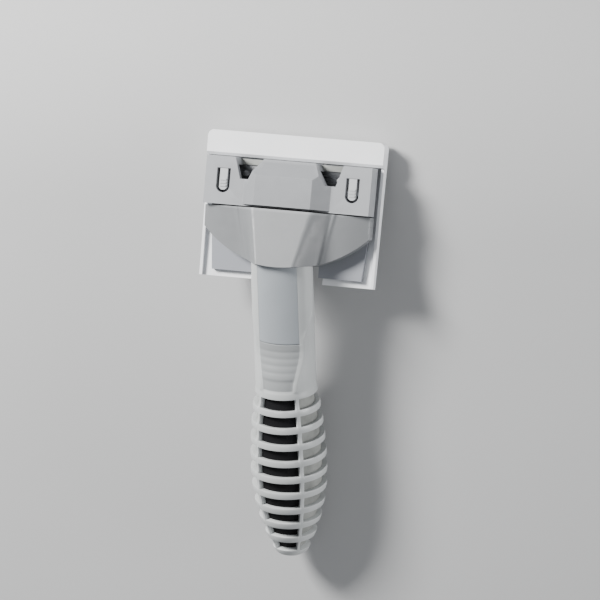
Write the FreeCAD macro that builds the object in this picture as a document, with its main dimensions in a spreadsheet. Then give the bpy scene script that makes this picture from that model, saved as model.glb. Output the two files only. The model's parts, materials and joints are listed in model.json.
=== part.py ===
import FreeCAD, Part
import Sketcher
import os
import re

# A hand-held blade scraper for aquarium glass, lying on its back: +Y points from the butt of the
# handle to the blade, +Z is the front face, +X is the right-hand side seen from the front.
# The origin is on the surface it lies on, in the middle of its outline. Millimetres and degrees.

# Handle pieces are drawn in the handle frame: +Y runs along the grip's axis from the butt.
# Head pieces are drawn in the head frame: +Y points to the blade, y = 0 is just beyond the blade
# guard's end and z = 0 is the guard's flat back, so a place deeper in the head has a lower y.
SIZES = {
    # whole tool, and the allowances used in it
    "head_end_y": 104.97,
    "head_end_z": -0.52,
    "handle_end_y": -104.974,
    "handle_end_z": 14.425,
    "head_tilt": 17,
    "handle_rise": 6,
    "fit": 0.05,
    "clearance": 0.3,
    "lap": 0.2,
    "beyond": 1,
    "far": 60,
    # barrel of the grip
    "widest_radius": 18.9,
    "widest_at": 47,
    "lower_curve": 100,
    "upper_curve": 240,
    "butt_start": 3.6,
    "butt_flat": 4.5,
    "butt_round": 5.5,
    "barrel_end": 90,
    "wall": 2.6,
    "pad_depth": 1.6,
    "core_start": 4.1,
    "core_end": 87.2,
    "pad_gap_angle": 0.4,
    # windows between the ribs of the grip
    "first_slot_at": 7,
    "slot_pitch": 8.58,
    "slot_width": 5.4,
    "front_share": 0.55,
    "side_share": 0.749,
    "spine_angle": 37.5,
    # neck
    "neck_start": 112,
    "neck_end": 159,
    "neck_half_width": 15.4,
    "neck_half_depth": 10.5,
    "neck_side_round": 8,
    "panel_start": 114.2,
    "panel_floor": 7.9,
    "panel_half_width": 11,
    "tang_half_width": 8,
    "tang_half_depth": 3.5,
    "tang_start": 118,
    "tang_end": 166,
    # screws
    "screw_radius": 1.5,
    "screw_head_radius": 2.8,
    "screw_head_height": 2.2,
    "flat_head_height": 1.2,
    "handle_screw_top": 5,
    "handle_screw_seat": -6.5,
    "drive_width": 0.9,
    "drive_length": 3.2,
    # blade guard
    "guard_half_width": 45.2,
    "guard_mouth_half_width": 44.6,
    "guard_start": 1.8,
    "guard_wall": 1.4,
    "guard_height": 7.5,
    "guard_band": 14,
    "guard_mouth_height": 3.5,
    "guard_length": 73,
    "guard_corner": 3,
    "guard_notch_half_width": 18,
    "guard_notch_start": 56,
    # head base
    "base_half_width": 41.2,
    "base_tail_half_width": 38.2,
    "base_start": 13,
    "base_taper_start": 38,
    "base_end": 69.8,
    "base_notch_half_width": 16.4,
    "base_notch_start": 54.5,
    "base_bottom": 1.9,
    "base_top": 4.2,
    "pedestal_front": 40,
    "pedestal_shoulder": 11,
    "pedestal_top_front": 47,
    "pedestal_top_back": 58.5,
    "pedestal_back": 53.5,
    "pedestal_top": 21,
    "pedestal_margin": 1,
    # blade and its pins
    "blade_half_width": 41.8,
    "blade_edge_at": 6.3,
    "blade_bevel": 1.8,
    "blade_back_at": 26.3,
    "blade_thickness": 0.4,
    "pin_radius": 1.5,
    "pin_x": 24,
    "pin_at": 22,
    "pin_fit": 0.03,
    "pin_foot": 2.6,
    "pin_top": 7.5,
    # clamp bar
    "clamp_half_width": 42.3,
    "clamp_start": 14.5,
    "clamp_end": 38,
    "clamp_front": 15,
    "clamp_roof": 11.8,
    "clamp_wall": 2,
    "nose_end": 18,
    "strip_height": 1,
    "strip_inset": 0.4,
    "strip_half_width": 40,
    "hump_half_base": 22.5,
    "hump_half_top": 14.5,
    "hump_base_start": 15.6,
    "hump_top_start": 22.9,
    "hump_end": 37.2,
    "hump_top": 22,
    "notch_inner_top": 12.5,
    "notch_outer_top": 28,
    "notch_inner_foot": 19.5,
    "notch_outer_foot": 24.5,
    "notch_foot_at": 25,
    # spring tongues in the clamp bar
    "tongue_x": 33,
    "tongue_half_width": 1.95,
    "tongue_gap": 1.5,
    "hinge_gap": 0.15,
    "end_flatness": 0.1,
    "tongue_root": 20.5,
    "tongue_tip": 31.6,
    "tongue_top": 14.7,
    "tongue_thickness": 2,
    "leg_half_width": 1.4,
    "leg_start": 28.8,
    "leg_end": 30.2,
    "leg_foot": 6.2,
    "rib_half_width": 1.5,
    "rib_half_thickness": 0.4,
    "rib_height": 0.4,
    "first_rib_at": 26,
    "rib_pitch": 1.5,
    # shoulder cover
    "cover_start": 38.6,
    "cover_end": 66.6,
    "cover_half_width": 42.2,
    "cover_bottom": 4.25,
    "cover_side_end": 49,
    "wing_edge": 11,
    "wing_top": 14.5,
    "ridge_half_base": 25,
    "ridge_half_top": 15,
    "ridge_front": 21.5,
    "lip_edge": 7,
    "lip_shoulder": 12,
    "lip_half_base": 18.5,
    "lip_half_top": 9,
    "lip_front": 26.2,
    "wing_room_inner": 11,
    "wing_room_outer": 23,
    "wing_room_start": 40,
    "wing_room_end": 53,
    "room_bottom": 3,
    "room_back": 60.5,
    "neck_room": 0.15,
    "neck_room_length": 30,
    "head_screw_x": 29,
    "head_screw_at": 45,
    "head_screw_seat": 3.2,
    "head_screw_top": 10,
}

SLOT_COUNT = 10
THUMB_RIB_COUNT = 3
HANDLE_SCREWS_AT = (101, 128, 148)
SEAM_ANGLE = 47             # turns the closing line of the round bodies away from the parting plane
OVAL_ANGLE = "52 deg"       # where the arcs of the barrel's end meet, matched to the neck's oval

# places of repeated parts, as formulas of (across, along)
HANDLE_SCREW_PLACES = [("0", str(along)) for along in HANDLE_SCREWS_AT]
HEAD_SCREW_PLACES = [("head_screw_x", "-head_screw_at"), ("-head_screw_x", "-head_screw_at")]
PIN_PLACES = [("pin_x", "-pin_at"), ("-pin_x", "-pin_at")]

doc = FreeCAD.newDocument("blade_scraper")
sheet = doc.addObject("Spreadsheet::Sheet", "Sizes")
for row, (alias, number) in enumerate(SIZES.items(), 1):
    sheet.set(f"A{row}", alias)
    sheet.set(f"B{row}", str(number))
    sheet.setAlias(f"B{row}", alias)
doc.recompute()


def linked(formula):
    """Write a formula of size names as an expression that reads the sheet."""
    def add_sheet(word):
        return "Sizes." + word.group() if word.group() in SIZES else word.group()
    return re.sub(r"[a-z_][a-z_0-9]*", add_sheet, str(formula))


def measured(formula):
    """The number that a formula of size names gives now."""
    return float(sheet.evalExpression(linked(formula)))


def bind(item, name, formula):
    item.setExpression(name, linked(formula))


# ---- sketches -------------------------------------------------------------------------------

def origin_item(body, role):
    """One of a body's own origin planes or axes."""
    return next(item for item in body.Origin.OriginFeatures if item.Role == role)


def new_sketch(body, role, offset="0", turn=0):
    """A sketch on one of the body's planes, moved along its normal and turned about its upright."""
    sketch = body.newObject("Sketcher::SketchObject", body.Name + "_outline")
    sketch.AttachmentSupport = (origin_item(body, role), [""])
    sketch.MapMode = "FlatFace"
    upright = FreeCAD.Vector(0, 1, 0)
    sketch.AttachmentOffset = FreeCAD.Placement(FreeCAD.Vector(), FreeCAD.Rotation(upright, turn))
    bind(sketch, "AttachmentOffset.Base.z", offset)
    return sketch


def pin_coordinate(sketch, kind, geometry, point, formula):
    """Hold one coordinate of a point at a formula's value, measured from the sketch's origin."""
    number = measured(formula)
    if abs(number) < 1e-9:
        axis = -2 if kind == "DistanceX" else -1
        sketch.addConstraint(Sketcher.Constraint("PointOnObject", geometry, point, axis))
        return
    ends = (-1, 1, geometry, point) if number > 0 else (geometry, point, -1, 1)
    index = sketch.addConstraint(Sketcher.Constraint(kind, *ends, abs(number)))
    sign = "" if number > 0 else "-"
    bind(sketch, f"Constraints[{index}]", f"{sign}({formula})")


def trace(sketch, stops):
    """Close an outline through stops. A stop is (across, up) or (across, up, radius): the radius
    bends the side that leaves it, to the left of travel if positive and to the right if negative."""
    places = [FreeCAD.Vector(measured(stop[0]), measured(stop[1]), 0) for stop in stops]
    sides = []
    for index, stop in enumerate(stops):
        here = places[index]
        there = places[(index + 1) % len(stops)]
        if len(stop) == 2:
            geometry = sketch.addGeometry(Part.LineSegment(here, there), False)
            sides.append((geometry, 1, 2))
            continue
        radius = measured(stop[2])
        chord = there - here
        left = FreeCAD.Vector(-chord.y, chord.x, 0).normalize()
        reach = (radius ** 2 - (chord.Length / 2) ** 2) ** 0.5
        centre = (here + there) / 2 + left * (reach if radius > 0 else -reach)
        circle = Part.Circle(centre, FreeCAD.Vector(0, 0, 1), abs(radius))
        first, last = (here, there) if radius > 0 else (there, here)
        arc = Part.ArcOfCircle(circle, circle.parameter(first), circle.parameter(last))
        geometry = sketch.addGeometry(arc, False)
        sides.append((geometry, 1, 2) if radius > 0 else (geometry, 2, 1))
        index_of_radius = sketch.addConstraint(Sketcher.Constraint("Radius", geometry, abs(radius)))
        bind(sketch, f"Constraints[{index_of_radius}]", f"abs({stop[2]})")
    for index, (geometry, start, end) in enumerate(sides):
        following, its_start, _ = sides[(index + 1) % len(sides)]
        sketch.addConstraint(Sketcher.Constraint("Coincident", geometry, end, following, its_start))
        pin_coordinate(sketch, "DistanceX", geometry, start, stops[index][0])
        pin_coordinate(sketch, "DistanceY", geometry, start, stops[index][1])


def mirrored_outline(half):
    """The stops of a symmetric outline from those of its right half, bottom to top."""
    return half + [(f"-({across})", up) for across, up in reversed(half)]


def rectangle(left, bottom, right, top):
    return [(left, bottom), (right, bottom), (right, top), (left, top)]


def oval(sketch, corner_x, corner_y, side_radius, face_radius):
    """Four tangent arcs about the sketch's origin, joined at the four mirrored corners."""
    left, low = f"-({corner_x})", f"-({corner_y})"
    trace(sketch, [(corner_x, low, side_radius), (corner_x, corner_y, face_radius),
                   (left, corner_y, side_radius), (left, low, face_radius)])


# ---- features -------------------------------------------------------------------------------

def new_body(label):
    body = doc.addObject("PartDesign::Body", label)
    body.Label = label
    return body


def pad(body, sketch, length, symmetric=False):
    feature = body.newObject("PartDesign::Pad", body.Name + "_pad")
    feature.Profile = sketch
    feature.Midplane = symmetric
    bind(feature, "Length", length)
    doc.recompute()
    return feature


def pocket(body, sketch, length, symmetric=False, reverse=False):
    """Cut a sketch into a body, and stop if nothing was cut."""
    before = body.Shape.Volume
    feature = body.newObject("PartDesign::Pocket", body.Name + "_pocket")
    feature.Profile = sketch
    feature.Midplane = symmetric
    feature.Reversed = reverse
    bind(feature, "Length", length)
    doc.recompute()
    if body.Shape.Volume > before - 0.01:
        raise RuntimeError(f"a pocket in {body.Label} cuts nothing")
    return feature


def revolve(body, sketch, angle="360", symmetric=False):
    feature = body.newObject("PartDesign::Revolution", body.Name + "_turned")
    feature.Profile = sketch
    feature.ReferenceAxis = (origin_item(body, "Y_Axis"), [""])
    feature.Midplane = symmetric
    bind(feature, "Angle", angle)
    doc.recompute()
    return feature


def loft(body, sketches, ruled=False):
    feature = body.newObject("PartDesign::AdditiveLoft", body.Name + "_loft")
    feature.Profile = sketches[0]
    feature.Sections = sketches[1:]
    feature.Ruled = ruled
    doc.recompute()
    return feature


def box(name, left, right, front, back, bottom, top):
    """A Part box between two corners given as formulas."""
    item = doc.addObject("Part::Box", name)
    bind(item, "Length", f"({right}) - ({left})")
    bind(item, "Width", f"({back}) - ({front})")
    bind(item, "Height", f"({top}) - ({bottom})")
    bind(item, "Placement.Base.x", left)
    bind(item, "Placement.Base.y", front)
    bind(item, "Placement.Base.z", bottom)
    return item


def post(name, radius, across, along, bottom, top):
    """An upright Part cylinder."""
    item = doc.addObject("Part::Cylinder", name)
    bind(item, "Radius", radius)
    bind(item, "Height", f"({top}) - ({bottom})")
    bind(item, "Placement.Base.x", across)
    bind(item, "Placement.Base.y", along)
    bind(item, "Placement.Base.z", bottom)
    return item


def fuse(name, items):
    joined = doc.addObject("Part::MultiFuse", name)
    joined.Shapes = items
    doc.recompute()
    return joined


def cut(name, base, tool):
    remaining = doc.addObject("Part::Cut", name)
    remaining.Label = name
    remaining.Base = base
    remaining.Tool = tool
    doc.recompute()
    if remaining.Shape.Volume > base.Shape.Volume - 0.01:
        raise RuntimeError(f"{name}: the tool removes nothing")
    return remaining


def common(name, first, second):
    shared = doc.addObject("Part::Common", name)
    shared.Label = name
    shared.Base = first
    shared.Tool = second
    doc.recompute()
    return shared


def group(label, items):
    """Identical fasteners as one piece of separate solids."""
    together = doc.addObject("Part::Compound", label)
    together.Label = label
    together.Links = items
    doc.recompute()
    return together


# ---- frames ---------------------------------------------------------------------------------

X_AXIS = FreeCAD.Vector(1, 0, 0)
handle_frame = FreeCAD.Placement(
    FreeCAD.Vector(0, SIZES["handle_end_y"], SIZES["handle_end_z"]),
    FreeCAD.Rotation(X_AXIS, SIZES["handle_rise"]))
head_frame = FreeCAD.Placement(
    FreeCAD.Vector(0, SIZES["head_end_y"], SIZES["head_end_z"]),
    FreeCAD.Rotation(X_AXIS, -SIZES["head_tilt"]))
handle_in_head = head_frame.inverse() * handle_frame


# ---- handle ---------------------------------------------------------------------------------

def grip_radius(along, inset="0"):
    """Radius of the grip's barrel at a distance along its axis, drawn in by an inset."""
    curve = "lower_curve" if measured(along) <= SIZES["widest_at"] else "upper_curve"
    reach = f"sqrt(({curve} - ({inset}))^2 - (({along}) - widest_at)^2)"
    return f"({reach} - {curve} + widest_radius)"


def barrel_sides(start, end, inset="0"):
    """The curved side of the barrel from start to end, as stops up the right of an outline."""
    return [
        (grip_radius(start, inset), start, f"lower_curve - ({inset})"),
        (f"widest_radius - ({inset})", "widest_at", f"upper_curve - ({inset})"),
        (grip_radius(end, inset), end),
    ]


def neck_oval(sketch, growth="0"):
    """The neck's section, grown all round by a clearance."""
    side_round = f"(neck_side_round + {growth})"
    side_centre = "(neck_half_width - neck_side_round)"
    rise = "(neck_half_depth - neck_side_round)"
    face_centre = f"(({side_centre}^2 - {rise}^2) / (2 * {rise}))"
    share = f"({side_round} / ({rise} + {face_centre}))"
    oval(sketch, f"{side_centre} * (1 + {share})", f"{face_centre} * {share}", side_round,
         f"neck_half_depth + {growth} + {face_centre}")


def make_handle_form():
    """The outer form of both shells: a turned barrel that runs into an oval neck."""
    body = new_body("handle_form")
    outline = new_sketch(body, "XY_Plane", turn=SEAM_ANGLE)
    butt = [("0", "0"), ("butt_flat", "0", "butt_round")]
    trace(outline, butt + barrel_sides("butt_start", "barrel_end") + [("0", "barrel_end")])
    revolve(body, outline)
    radius = grip_radius("barrel_end")
    barrel_top = new_sketch(body, "XZ_Plane", "-barrel_end")
    oval(barrel_top, f"{radius} * cos({OVAL_ANGLE})", f"{radius} * sin({OVAL_ANGLE})", radius, radius)
    sections = [barrel_top]
    for along in ("neck_start", "neck_end"):
        section = new_sketch(body, "XZ_Plane", f"-{along}")
        neck_oval(section)
        sections.append(section)
    loft(body, sections[:2])
    loft(body, sections[1:])
    return body


def make_turned_fill(label, start, end, inset):
    """A solid barrel inside the grip, drawn in by an inset."""
    body = new_body(label)
    outline = new_sketch(body, "XY_Plane", turn=SEAM_ANGLE)
    trace(outline, [("0", start)] + barrel_sides(start, end, inset) + [("0", end)])
    revolve(body, outline)
    return body


def make_slot_windows():
    """Boxes that open the grip between its ribs, leaving four spines along it."""
    windows = []
    for index in range(SLOT_COUNT):
        middle = f"first_slot_at + {index} * slot_pitch"
        front = f"{middle} - slot_width / 2"
        back = f"{middle} + slot_width / 2"
        across = f"front_share * {grip_radius(front)}"
        upright = f"side_share * {grip_radius(front)}"
        far = "2 * widest_radius"
        windows.append(box(f"front_window_{index}", f"-({across})", across, front, back, f"-({far})", far))
        windows.append(box(f"side_window_{index}", f"-({far})", far, front, back, f"-({upright})", upright))
    return windows


def make_screw_holes(label, places, seat, top, depth):
    """Clearance holes with head recesses, for screws driven from behind."""
    holes = []
    for index, (across, along) in enumerate(places):
        holes.append(post(f"{label}_shank_{index}", "screw_radius + fit", across, along, f"-({depth})", top))
        holes.append(post(f"{label}_head_{index}", "screw_head_radius + 2 * fit", across, along,
                          f"-({depth})", seat))
    return holes


def make_shells():
    form = make_handle_form()
    cavity = make_turned_fill("grip_cavity", "core_start - fit", "core_end + fit", "wall")
    bore = box("tang_bore", "-(tang_half_width + fit)", "tang_half_width + fit", "tang_start - fit",
               "neck_end + beyond", "-(tang_half_depth + fit)", "tang_half_depth + fit")
    screw_holes = make_screw_holes("handle_hole", HANDLE_SCREW_PLACES, "handle_screw_seat",
                                   "handle_screw_top + clearance", "far")
    hollow = fuse("handle_hollow", [cavity, bore] + make_slot_windows() + screw_holes)
    cage = cut("handle_cage", form, hollow)
    upper_half = box("upper_half", "-far", "far", "-beyond", "neck_end + beyond", "0", "far")
    lower_half = box("lower_half", "-far", "far", "-beyond", "neck_end + beyond", "-far", "0")
    panel_room = box("panel_room", "-panel_half_width", "panel_half_width", "panel_start - fit",
                     "neck_end + beyond", "panel_floor", "far")
    panel_block = box("panel_block", "-panel_half_width", "panel_half_width", "panel_start",
                      "neck_end - clearance", "panel_floor", "far")
    front_shell = cut("handle_front_shell", common("front_half", cage, upper_half), panel_room)
    rear_shell = common("handle_rear_shell", cage, lower_half)
    panel = common("thumb_panel", form, panel_block)
    return [front_shell, rear_shell, panel]


def make_core():
    """The soft core: a round heart with a raised sector behind the front and the rear windows."""
    body = new_body("grip_core")
    heart = new_sketch(body, "XY_Plane")
    inset = "wall + fit + pad_depth + fit"
    trace(heart, [("0", "core_start")] + barrel_sides("core_start", "core_end", inset) + [("0", "core_end")])
    revolve(body, heart)
    for side in ("", "-"):
        sector = new_sketch(body, "YZ_Plane")
        stops = barrel_sides("core_start", "core_end", "wall + fit")
        trace(sector, turned_stops(stops, side))
        revolve(body, sector, "2 * spine_angle", symmetric=True)
    return body


def turned_stops(stops, side):
    """Barrel stops for a sketch whose across is the barrel's length: up the length, then back."""
    curved = []
    for stop in stops:
        radius = (f"-({stop[2]})",) if len(stop) == 3 and side == "" else stop[2:]
        curved.append((stop[1], f"{side}({stop[0]})") + tuple(radius))
    return [(stops[0][1], "0")] + curved + [(stops[-1][1], "0")]


def make_side_grip(label, side):
    """A thin pad behind the side windows, wrapped on the core between two spines."""
    body = new_body(label)
    section = new_sketch(body, "XY_Plane")
    outer = barrel_sides("core_start", "core_end", "wall + fit")
    inner = barrel_sides("core_start", "core_end", "wall + fit + pad_depth")
    start, widest, end = inner
    back = [(end[0], end[1], f"-({widest[2]})"),
            (widest[0], widest[1], f"-({start[2]})"),
            (start[0], start[1])]
    stops = outer + back
    if side < 0:
        stops = [mirrored_stop(stop) for stop in stops]
    trace(section, stops)
    revolve(body, section, "180 - 2 * spine_angle - pad_gap_angle", symmetric=True)
    return body


def mirrored_stop(stop):
    """The same stop on the other side of the axis, with its side bent the other way."""
    bend = (f"-({stop[2]})",) if len(stop) == 3 else ()
    return (f"-({stop[0]})", stop[1]) + bend


def make_screws(label, places, seat, top, head_height):
    """Countersunk screws driven upwards, with a cross recess below."""
    screws = []
    for index, (across, along) in enumerate(places):
        name = f"{label}_{index}"
        bottom = f"{seat} - {head_height}"
        shank = post(f"{name}_shank", "screw_radius", across, along, seat, top)
        head = post(f"{name}_head", "screw_head_radius", across, along, bottom, seat)
        blank = fuse(f"{name}_blank", [shank, head])
        recess_top = f"{bottom} + {head_height} / 2"
        narrow, wide = "drive_width / 2", "drive_length / 2"
        bars = []
        for bar, (half_x, half_y) in enumerate(((narrow, wide), (wide, narrow))):
            bars.append(box(f"{name}_bar_{bar}", f"{across} - {half_x}", f"{across} + {half_x}",
                            f"{along} - {half_y}", f"{along} + {half_y}", f"{bottom} - beyond", recess_top))
        screws.append(cut(name, blank, fuse(f"{name}_cross", bars)))
    return group(label, screws)


# ---- head -----------------------------------------------------------------------------------

def make_guard():
    """A slide-on box over the head, open towards the handle, with a notch for the neck."""
    body = new_body("blade_guard")
    plan = new_sketch(body, "XY_Plane")
    trace(plan, mirrored_outline([
        ("guard_half_width", "-guard_start"), ("guard_mouth_half_width", "-guard_length"),
        ("guard_notch_half_width", "-guard_length"), ("guard_notch_half_width", "-guard_notch_start")]))
    pad(body, plan, "guard_height")
    above = new_sketch(body, "YZ_Plane")
    high, low = "guard_height + beyond", "guard_height - guard_wall"
    mouth = "-(guard_length + beyond)"
    trace(above, [("-(guard_band - guard_wall)", high), ("-(guard_band - guard_wall)", "guard_height"),
                  ("-guard_band", low), ("-guard_band", f"{low} - guard_wall"),
                  (mouth, "guard_mouth_height"), (mouth, high)])
    pocket(body, above, "2 * far", symmetric=True)
    inside = new_sketch(body, "XY_Plane", "guard_wall")
    trace(inside, mirrored_outline([("guard_half_width - guard_wall", "-(guard_start + guard_wall)"),
                                    ("guard_mouth_half_width - guard_wall", mouth)]))
    hollowed = pocket(body, inside, "guard_height - 2 * guard_wall", reverse=True)
    corners = []
    for index, edge in enumerate(hollowed.Shape.Edges, 1):
        extent = edge.BoundBox
        at_corner = abs(extent.Center.x) > SIZES["guard_half_width"] - SIZES["fit"]
        if at_corner and extent.ZLength > SIZES["guard_height"] - SIZES["fit"]:
            corners.append(f"Edge{index}")
    rounding = body.newObject("PartDesign::Fillet", "guard_corners")
    rounding.Base = (hollowed, corners)
    bind(rounding, "Radius", "guard_corner")
    doc.recompute()
    return body


def pedestal_outline(room, bottom, back, top_back):
    """Side view of the pedestal between base and neck, grown by the room left round it."""
    return [(f"-({back})", bottom), (f"-(pedestal_front - {room})", bottom),
            (f"-(pedestal_front - {room})", f"pedestal_shoulder + {room}"),
            (f"-(pedestal_top_front - {room} / 2)", f"pedestal_top + {room}"),
            (f"-({top_back})", f"pedestal_top + {room}")]


def make_head_base():
    """The plate that carries the blade, with a pedestal and a tang that runs into the neck."""
    plate = new_body("base_plate")
    outline = new_sketch(plate, "XY_Plane", "base_bottom")
    trace(outline, mirrored_outline([
        ("base_half_width", "-base_start"), ("base_half_width", "-base_taper_start"),
        ("base_tail_half_width", "-base_end"), ("base_notch_half_width", "-base_end"),
        ("base_notch_half_width", "-base_notch_start")]))
    pad(plate, outline, "base_top - base_bottom")
    profile = new_sketch(plate, "YZ_Plane")
    trace(profile, pedestal_outline("0", "base_top - lap", "pedestal_back", "pedestal_top_back"))
    pad(plate, profile, "2 * (tang_half_width + pedestal_margin)", symmetric=True)
    tang = box("tang", "-tang_half_width", "tang_half_width", "tang_start", "tang_end",
               "-tang_half_depth", "tang_half_depth")
    screw_room = [post(f"tang_hole_{along}", "screw_radius + fit", "0", str(along), "-far", "far")
                  for along in HANDLE_SCREWS_AT if along > SIZES["tang_start"]]
    drilled = cut("drilled_tang", tang, fuse("tang_holes", screw_room))
    drilled.Placement = handle_in_head
    solid = fuse("solid_base", [plate, drilled])
    holes = make_screw_holes("head_hole", HEAD_SCREW_PLACES, "head_screw_seat", "head_screw_top", "far")
    for index, (across, along) in enumerate(PIN_PLACES):
        holes.append(post(f"pin_hole_{index}", "pin_radius + pin_fit", across, along, "pin_foot", "pin_top"))
    return cut("head_base", solid, fuse("base_holes", holes))


def make_pins():
    pins = [post(f"blade_pin_{index}", "pin_radius", across, along, "pin_foot", "pin_top")
            for index, (across, along) in enumerate(PIN_PLACES)]
    return group("blade_locating_pins", pins)


def make_blade():
    body = new_body("blade")
    section = new_sketch(body, "YZ_Plane")
    low, high = "base_top", "base_top + blade_thickness"
    middle = "base_top + blade_thickness / 2"
    bevel = "-(blade_edge_at + blade_bevel)"
    trace(section, [("-blade_back_at", low), (bevel, low), ("-blade_edge_at", middle), (bevel, high),
                    ("-blade_back_at", high)])
    pad(body, section, "2 * blade_half_width", symmetric=True)
    for across, along in PIN_PLACES:
        hole = new_sketch(body, "XY_Plane", high)
        centre = FreeCAD.Vector(measured(across), measured(along), 0)
        circle = Part.Circle(centre, FreeCAD.Vector(0, 0, 1), SIZES["pin_radius"])
        index = hole.addGeometry(circle, False)
        pin_coordinate(hole, "DistanceX", index, 3, across)
        pin_coordinate(hole, "DistanceY", index, 3, along)
        radius = hole.addConstraint(Sketcher.Constraint("Radius", index, SIZES["pin_radius"]))
        bind(hole, f"Constraints[{radius}]", "pin_radius + 2 * fit")
        pocket(body, hole, "2 * blade_thickness")
    return body


def make_clamp_bar():
    """The bar that presses the blade down: a tray with a raised hump, notches and tongue windows."""
    body = new_body("clamp_bar")
    foot = "base_top + blade_thickness + strip_height"
    outline = new_sketch(body, "XY_Plane", foot)
    trace(outline, rectangle("-clamp_half_width", "-clamp_end", "clamp_half_width", "-clamp_start"))
    pad(body, outline, f"clamp_front - ({foot})")
    rear_wall = new_sketch(body, "XY_Plane", "base_top + fit")
    trace(rear_wall, rectangle("-base_half_width", "-clamp_end",
                               "base_half_width", "-(clamp_end - clamp_wall)"))
    pad(body, rear_wall, f"{foot} - base_top")
    underside = new_sketch(body, "XY_Plane", foot)
    inner = "clamp_half_width - clamp_wall"
    trace(underside, rectangle(f"-({inner})", "-(clamp_end - clamp_wall)", inner, "-nose_end"))
    pocket(body, underside, f"clamp_roof - ({foot})", reverse=True)
    base = new_sketch(body, "XY_Plane", "clamp_front - lap / 2")
    trace(base, rectangle("-hump_half_base", "-hump_end", "hump_half_base", "-hump_base_start"))
    top = new_sketch(body, "XY_Plane", "hump_top")
    trace(top, rectangle("-hump_half_top", "-hump_end", "hump_half_top", "-hump_top_start"))
    loft(body, [base, top], ruled=True)
    for side in (1, -1):
        notch = new_sketch(body, "XY_Plane", "hump_top + beyond")
        trace(notch, [(f"{side} * notch_inner_top", "-(clamp_start - beyond)"),
                      (f"{side} * notch_inner_foot", "-notch_foot_at"),
                      (f"{side} * notch_outer_foot", "-notch_foot_at"),
                      (f"{side} * notch_outer_top", "-(clamp_start - beyond)")])
        pocket(body, notch, "far")
        window = new_sketch(body, "XY_Plane", "clamp_front + beyond")
        half = "tongue_half_width + tongue_gap"
        lowest = f"-(tongue_tip + tongue_gap - ({half}))"
        root = "-(tongue_root - hinge_gap)"
        trace(window, [(f"{side} * tongue_x - ({half})", root),
                       (f"{side} * tongue_x - ({half})", lowest, f"{half} + end_flatness"),
                       (f"{side} * tongue_x + {half}", lowest),
                       (f"{side} * tongue_x + {half}", root)])
        pocket(body, window, "clamp_front - clamp_roof + 2 * beyond")
    return body


def make_latch(label, side):
    """A spring tongue with a thumb pad and a leg that reaches down beside the base."""
    body = new_body(label)
    middle = f"{side} * tongue_x"
    tongue = new_sketch(body, "XY_Plane", "tongue_top - tongue_thickness")
    lowest = "-(tongue_tip - tongue_half_width)"
    trace(tongue, [(f"{middle} - tongue_half_width", "-tongue_root"),
                   (f"{middle} - tongue_half_width", lowest, "tongue_half_width + end_flatness"),
                   (f"{middle} + tongue_half_width", lowest),
                   (f"{middle} + tongue_half_width", "-tongue_root")])
    pad(body, tongue, "tongue_thickness")
    leg = new_sketch(body, "XY_Plane", "leg_foot")
    trace(leg, rectangle(f"{middle} - leg_half_width", "-leg_end",
                         f"{middle} + leg_half_width", "-leg_start"))
    pad(body, leg, "tongue_top - tongue_thickness / 2 - leg_foot")
    for rib in range(THUMB_RIB_COUNT):
        thumb_rib = new_sketch(body, "XY_Plane", "tongue_top - lap")
        place = f"-(first_rib_at + {rib} * rib_pitch)"
        trace(thumb_rib, rectangle(f"{middle} - rib_half_width", f"{place} - rib_half_thickness",
                                   f"{middle} + rib_half_width", f"{place} + rib_half_thickness"))
        pad(body, thumb_rib, "rib_height + lap")
    return body


def make_cover():
    """The shoulder that blends the neck into the head: a ridge with two wings and a curved lip."""
    body = new_body("cover_block")
    first = new_sketch(body, "XZ_Plane", "cover_start")
    trace(first, mirrored_outline([("cover_half_width", "cover_bottom"), ("cover_half_width", "wing_edge"),
                                   ("ridge_half_base", "wing_top"), ("ridge_half_top", "ridge_front")]))
    last = new_sketch(body, "XZ_Plane", "cover_end + beyond")
    trace(last, mirrored_outline([("cover_half_width", "cover_bottom"), ("cover_half_width", "lip_edge"),
                                  ("lip_half_base", "lip_shoulder"), ("lip_half_top", "lip_front")]))
    loft(body, [first, last], ruled=True)
    plan = new_body("cover_plan")
    outline = new_sketch(plan, "XY_Plane")
    side_end = "cover_side_end"
    depth = f"(cover_end - {side_end})"
    bend = f"(cover_half_width^2 + {depth}^2) / (2 * {depth})"
    trace(outline, [("cover_half_width", "-cover_start"), ("-cover_half_width", "-cover_start"),
                    ("-cover_half_width", f"-{side_end}", bend), ("0", "-cover_end", bend),
                    ("cover_half_width", f"-{side_end}")])
    pad(plan, outline, "far")
    pedestal_room = new_body("pedestal_room")
    profile = new_sketch(pedestal_room, "YZ_Plane")
    trace(profile, pedestal_outline("clearance", "room_bottom", "room_back", "room_back"))
    pad(pedestal_room, profile, "2 * (tang_half_width + pedestal_margin + clearance)", symmetric=True)
    neck = new_body("neck_room_block")
    section = new_sketch(neck, "XZ_Plane", "-(neck_end + clearance)")
    neck_oval(section, "neck_room")
    pad(neck, section, "neck_room_length")
    neck.Placement = handle_in_head
    hollows = [pedestal_room, neck]
    for name, left, right in (("left_wing_room", "-wing_room_outer", "-wing_room_inner"),
                              ("right_wing_room", "wing_room_inner", "wing_room_outer")):
        hollows.append(box(name, left, right, "-wing_room_end", "-wing_room_start",
                           "room_bottom", "wing_edge"))
    for index, (across, along) in enumerate(HEAD_SCREW_PLACES):
        hollows.append(post(f"cover_hole_{index}", "screw_radius + fit", across, along, "0",
                            "head_screw_top + clearance"))
    return cut("shoulder_cover", common("cover_skin", body, plan), fuse("cover_hollow", hollows))


def make_pressure_strip():
    body = new_body("pressure_strip")
    outline = new_sketch(body, "XY_Plane", "base_top + blade_thickness")
    trace(outline, rectangle("-strip_half_width", "-(nose_end - strip_inset)",
                             "strip_half_width", "-(clamp_start + strip_inset)"))
    pad(body, outline, "strip_height")
    return body


# ---- the whole tool -------------------------------------------------------------------------

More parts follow.
